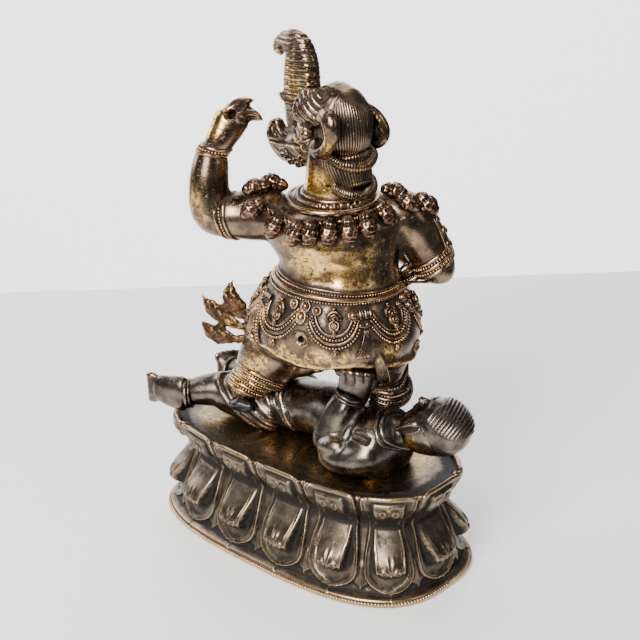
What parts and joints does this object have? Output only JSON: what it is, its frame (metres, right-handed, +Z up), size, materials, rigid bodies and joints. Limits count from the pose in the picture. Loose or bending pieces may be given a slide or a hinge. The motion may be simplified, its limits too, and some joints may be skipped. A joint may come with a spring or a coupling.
{
  "type": "bronze deity figure on a lotus plinth",
  "caption": "Animal-headed deity in gilt bronze kneeling on a man who lies on a double lotus plinth.",
  "frame": {"origin": "middle of the flat underside of the base", "axes": "+Z up; X along the base, from the lying man's head (-X) to his feet (+X); the deity looks roughly towards -Y"},
  "size_m": [0.1216, 0.0709, 0.1762],
  "materials": {
    "base_bronze": "dark brown satin bronze, worn on the raised parts",
    "man_bronze": "dark brown satin bronze with traces of gilding",
    "gilt_bronze": "brown patina over worn gilding",
    "putty": "black-blue putty, glossy in places"
  },
  "bodies": {
    "root": {"lotus_base": "base_bronze", "lying_man": "man_bronze", "deity_figure": "gilt_bronze", "left_knee_putty": "putty", "right_knee_putty": "putty"}
  },
  "joints": []
}
